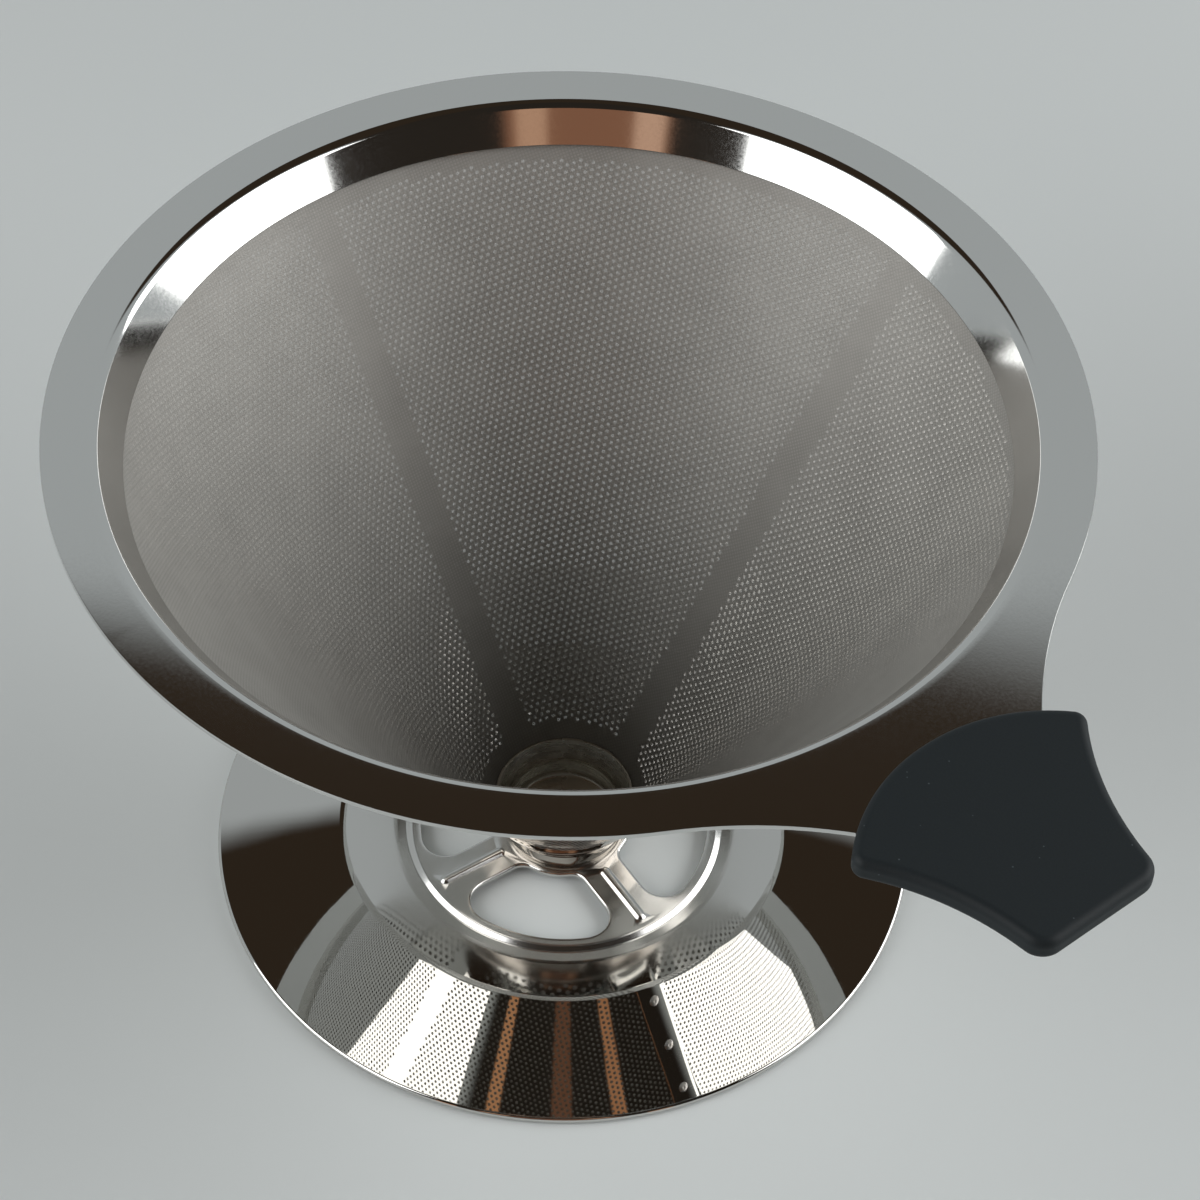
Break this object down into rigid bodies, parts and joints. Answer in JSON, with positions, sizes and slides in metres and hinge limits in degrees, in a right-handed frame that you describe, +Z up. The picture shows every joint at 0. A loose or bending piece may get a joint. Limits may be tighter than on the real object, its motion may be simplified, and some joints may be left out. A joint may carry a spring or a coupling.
{
  "type": "pour over dripper",
  "caption": "Reusable steel pour over coffee cone: fine cloth inside a perforated cone, pressed rim with a silicone grip, spoked stand with a shallow skirt.",
  "frame": {"origin": "on the cone's axis, at the plane the rolled foot stands on", "axes": "+Z up along the cone's axis, +X along the handle"},
  "size_m": [0.1538, 0.125, 0.0833],
  "materials": {
    "satin_steel": "pressed stainless steel, satin flange and bright shoulder",
    "silicone": "matte moulded silicone, blue black",
    "steel_cloth": "very fine woven stainless cloth",
    "perforated_steel": "perforated stainless sheet",
    "weld_steel": "bright steel",
    "cup_steel": "drawn stainless steel",
    "polished_steel": "mirror polished stainless steel"
  },
  "bodies": {
    "dripper": {"rim_flange": "satin_steel", "inner_mesh_cone": "steel_cloth", "outer_perforated_cone": "perforated_steel", "seam_spot_welds": "weld_steel", "bottom_cup": "cup_steel", "bottom_ferrule": "cup_steel", "stand": "polished_steel", "hub_rivet": "weld_steel"},
    "grip": {"handle_grip": "silicone"}
  },
  "joints": [
    {"name": "grip_pull_off", "type": "slide", "parent": "dripper", "child": "grip", "axis": [1, 0, 0], "range_m": [0, 0.028]}
  ]
}
